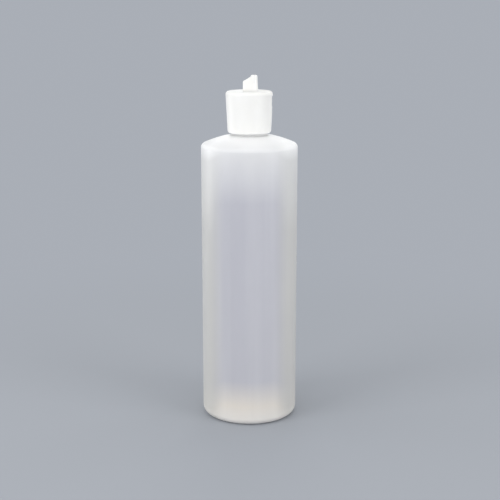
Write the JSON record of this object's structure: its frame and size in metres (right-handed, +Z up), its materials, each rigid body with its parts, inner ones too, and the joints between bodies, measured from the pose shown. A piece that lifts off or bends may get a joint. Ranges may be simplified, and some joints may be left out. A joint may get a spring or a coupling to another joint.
{
  "type": "cylinder bottle with flip-spout cap",
  "caption": "Milky see-through plastic cylinder bottle, about half a litre, with a white screw cap whose spout folds down into a slot.",
  "frame": {"origin": "middle of the standing ring, on the plane that the bottle stands on", "axes": "+Z up along the bottle's axis, +X towards the side of the cap that the spout folds to"},
  "size_m": [0.062, 0.062, 0.2234],
  "materials": {
    "milky_plastic": "natural polyethylene, milky and see-through, satin outside, with faint flow streaks up the wall",
    "white_plastic": "opaque white polypropylene, smooth moulded satin",
    "spout_plastic": "opaque white polypropylene, a little glossier than the cap"
  },
  "bodies": {
    "bottle": {"bottle": "milky_plastic"},
    "cap": {"cap": "white_plastic"},
    "spout": {"spout": "spout_plastic"}
  },
  "joints": [
    {"name": "cap_lift", "type": "slide", "parent": "bottle", "child": "cap", "axis": [0, 0, 1], "range_m": [0, 0.03]},
    {"name": "spout_flip", "type": "hinge", "parent": "cap", "child": "spout", "pos_m": [0.0007, 0, 0.20891], "axis": [0, 1, 0], "range_deg": [0, 90]}
  ]
}
